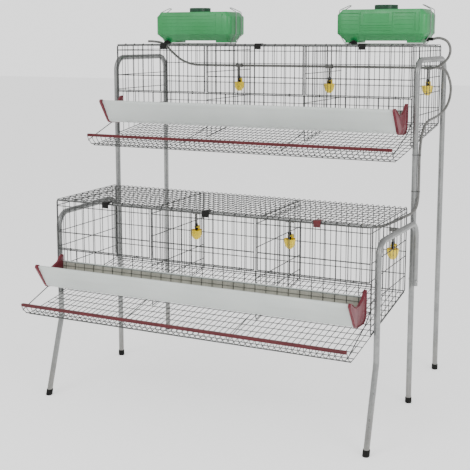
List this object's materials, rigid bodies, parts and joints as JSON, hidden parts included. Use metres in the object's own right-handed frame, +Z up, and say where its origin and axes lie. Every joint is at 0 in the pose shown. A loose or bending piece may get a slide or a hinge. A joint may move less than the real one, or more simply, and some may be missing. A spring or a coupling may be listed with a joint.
{
  "type": "tiered laying hen cage",
  "caption": "Stepped wire cage stand for laying hens on a bent tube frame, with doors, feed troughs, roll-out egg trays, cup drinkers and roof water tanks.",
  "frame": {"origin": "centre of the footprint's bounding rectangle at floor level", "axes": "+Z up, +X to the right seen from the feeding front, -Y towards the feeding front"},
  "size_m": [1.6113, 1.3296, 1.7795],
  "materials": {
    "galvanised_tube": "bright galvanised round tube with fine drawn streaks",
    "galvanised_wire": "galvanised welded wire",
    "cradle_wire": "galvanised bent wire",
    "bolt_steel": "zinc plated bolt",
    "black_plug": "moulded black foot plug",
    "black_clip": "moulded black clip",
    "red_plastic": "dark red moulded plastic",
    "red_strip": "dark red extruded plastic",
    "trough_plastic": "pale grey extruded plastic",
    "tank_plastic": "green blow moulded plastic",
    "tank_cap_plastic": "dark green moulded plastic",
    "drinker_yellow": "yellow moulded plastic",
    "hose_grey": "grey flexible hose"
  },
  "bodies": {
    "cage_stand": {"frame_tall_left": "galvanised_tube", "frame_front_left": "galvanised_tube", "foot_tall_front_left": "black_plug", "foot_tall_rear_left": "black_plug", "foot_splayed_left": "black_plug", "clamp_bolt_left": "bolt_steel", "frame_tall_right": "galvanised_tube", "frame_front_right": "galvanised_tube", "foot_tall_front_right": "black_plug", "foot_tall_rear_right": "black_plug", "foot_splayed_right": "black_plug", "clamp_bolt_right": "bolt_steel", "roof_back_lower": "galvanised_wire", "side_left_lower": "galvanised_wire", "side_right_lower": "galvanised_wire", "divider_left_lower": "galvanised_wire", "divider_right_lower": "galvanised_wire", "floor_lower": "galvanised_wire", "egg_strip_lower": "red_strip", "front_grille_lower": "galvanised_wire", "drinker_left_lower": "drinker_yellow", "drinker_middle_lower": "drinker_yellow", "drinker_right_lower": "drinker_yellow", "roof_back_upper": "galvanised_wire", "side_left_upper": "galvanised_wire", "side_right_upper": "galvanised_wire", "divider_left_upper": "galvanised_wire", "divider_right_upper": "galvanised_wire", "floor_upper": "galvanised_wire", "egg_strip_upper": "red_strip", "front_grille_upper": "galvanised_wire", "drinker_left_upper": "drinker_yellow", "drinker_middle_upper": "drinker_yellow", "drinker_right_upper": "drinker_yellow", "tank_left": "tank_plastic", "tank_cradle_left": "cradle_wire", "tank_right": "tank_plastic", "tank_cradle_right": "cradle_wire", "hose_main": "hose_grey", "hose_feed": "hose_grey"},
    "door_left_lower_body": {"door_left_lower": "galvanised_wire"},
    "latch_left_lower_body": {"latch_left_lower": "black_clip"},
    "door_middle_lower_body": {"door_middle_lower": "galvanised_wire"},
    "latch_middle_lower_body": {"latch_middle_lower": "black_clip"},
    "door_right_lower_body": {"door_right_lower": "galvanised_wire"},
    "latch_right_lower_body": {"latch_right_lower": "black_clip"},
    "trough_lower_body": {"trough_lower": "trough_plastic", "trough_cap_left_lower": "red_plastic", "trough_cap_right_lower": "red_plastic"},
    "door_left_upper_body": {"door_left_upper": "galvanised_wire"},
    "latch_left_upper_body": {"latch_left_upper": "black_clip"},
    "door_middle_upper_body": {"door_middle_upper": "galvanised_wire"},
    "latch_middle_upper_body": {"latch_middle_upper": "black_clip"},
    "door_right_upper_body": {"door_right_upper": "galvanised_wire"},
    "latch_right_upper_body": {"latch_right_upper": "black_clip"},
    "trough_upper_body": {"trough_upper": "trough_plastic", "trough_cap_left_upper": "red_plastic", "trough_cap_right_upper": "red_plastic"},
    "tank_cap_left_body": {"tank_cap_left": "tank_cap_plastic"},
    "tank_cap_right_body": {"tank_cap_right": "tank_cap_plastic"}
  },
  "joints": [
    {"name": "door_left_lower_hinge", "type": "hinge", "parent": "cage_stand", "child": "door_left_lower_body", "pos_m": [-0.49733, -0.38481, 0.68], "axis": [1, 0, 0], "range_deg": [0, 90]},
    {"name": "latch_left_lower_pivot", "type": "hinge", "parent": "door_left_lower_body", "child": "latch_left_lower_body", "pos_m": [-0.47733, -0.38481, 0.899], "axis": [1, 0, 0], "range_deg": [0, 90]},
    {"name": "door_middle_lower_hinge", "type": "hinge", "parent": "cage_stand", "child": "door_middle_lower_body", "pos_m": [0, -0.38481, 0.68], "axis": [1, 0, 0], "range_deg": [0, 90]},
    {"name": "latch_middle_lower_pivot", "type": "hinge", "parent": "door_middle_lower_body", "child": "latch_middle_lower_body", "pos_m": [0.02, -0.38481, 0.899], "axis": [1, 0, 0], "range_deg": [0, 90]},
    {"name": "door_right_lower_hinge", "type": "hinge", "parent": "cage_stand", "child": "door_right_lower_body", "pos_m": [0.49733, -0.38481, 0.68], "axis": [1, 0, 0], "range_deg": [0, 90]},
    {"name": "latch_right_lower_pivot", "type": "hinge", "parent": "door_right_lower_body", "child": "latch_right_lower_body", "pos_m": [0.51733, -0.38481, 0.899], "axis": [1, 0, 0], "range_deg": [0, 90]},
    {"name": "trough_lower_lift", "type": "slide", "parent": "cage_stand", "child": "trough_lower_body", "axis": [0, 0, 1], "range_m": [0, 0.018]},
    {"name": "door_left_upper_hinge", "type": "hinge", "parent": "cage_stand", "child": "door_left_upper_body", "pos_m": [-0.49733, 0.14419, 1.373], "axis": [1, 0, 0], "range_deg": [0, 90]},
    {"name": "latch_left_upper_pivot", "type": "hinge", "parent": "door_left_upper_body", "child": "latch_left_upper_body", "pos_m": [-0.47733, 0.14419, 1.592], "axis": [1, 0, 0], "range_deg": [0, 90]},
    {"name": "door_middle_upper_hinge", "type": "hinge", "parent": "cage_stand", "child": "door_middle_upper_body", "pos_m": [0, 0.14419, 1.373], "axis": [1, 0, 0], "range_deg": [0, 90]},
    {"name": "latch_middle_upper_pivot", "type": "hinge", "parent": "door_middle_upper_body", "child": "latch_middle_upper_body", "pos_m": [0.02, 0.14419, 1.592], "axis": [1, 0, 0], "range_deg": [0, 90]},
    {"name": "door_right_upper_hinge", "type": "hinge", "parent": "cage_stand", "child": "door_right_upper_body", "pos_m": [0.49733, 0.14419, 1.373], "axis": [1, 0, 0], "range_deg": [0, 90]},
    {"name": "latch_right_upper_pivot", "type": "hinge", "parent": "door_right_upper_body", "child": "latch_right_upper_body", "pos_m": [0.51733, 0.14419, 1.592], "axis": [1, 0, 0], "range_deg": [0, 90]},
    {"name": "trough_upper_lift", "type": "slide", "parent": "cage_stand", "child": "trough_upper_body", "axis": [0, 0, 1], "range_m": [0, 0.018]},
    {"name": "tank_cap_left_lift", "type": "slide", "parent": "cage_stand", "child": "tank_cap_left_body", "axis": [0, 0, 1], "range_m": [0, 0.06]},
    {"name": "tank_cap_right_lift", "type": "slide", "parent": "cage_stand", "child": "tank_cap_right_body", "axis": [0, 0, 1], "range_m": [0, 0.06]}
  ]
}
